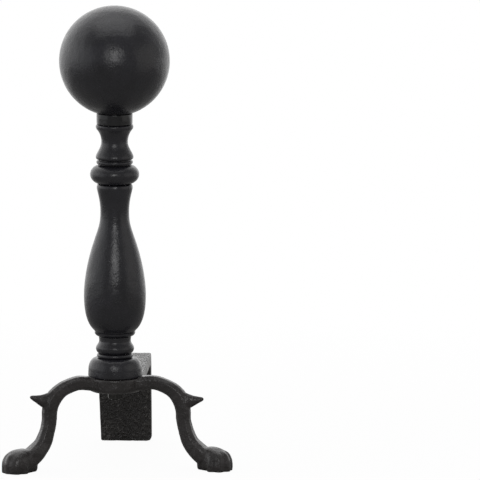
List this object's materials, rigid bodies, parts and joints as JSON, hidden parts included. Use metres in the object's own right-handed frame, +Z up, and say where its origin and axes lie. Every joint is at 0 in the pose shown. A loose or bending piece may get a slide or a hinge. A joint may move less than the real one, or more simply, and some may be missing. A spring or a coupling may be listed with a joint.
{
  "type": "andiron",
  "caption": "Andiron: a baluster column with a ball finial on two cabriole legs with paw feet, and a flat log rest running back to a rear leg.",
  "frame": {"origin": "middle of the bounding box, on the floor", "axes": "+Z up along the column, +Y back towards the rear leg, +X to the right seen from the front; the column's axis stands 48 mm in front of the origin"},
  "size_m": [0.2168, 0.1996, 0.4319],
  "materials": {
    "turned_iron": "satin black paint on smooth turned castings",
    "gloss_iron": "glossier black paint",
    "cast_iron": "satin black paint over a slightly uneven cast skin",
    "rough_iron": "matt black paint over a pebbled sand-cast skin",
    "black_steel": "blackened steel rod and fasteners"
  },
  "bodies": {
    "root": {"ball_finial": "turned_iron", "finial_collar": "gloss_iron", "upper_spool": "turned_iron", "spacer_ring": "turned_iron", "torus_ring": "turned_iron", "baluster": "turned_iron", "base_neck": "turned_iron", "base_cap": "turned_iron", "leg_casting": "cast_iron", "log_rest": "rough_iron", "tie_rod": "black_steel", "flat_washer": "black_steel", "lock_washer": "black_steel", "hex_nut": "black_steel"}
  },
  "joints": []
}
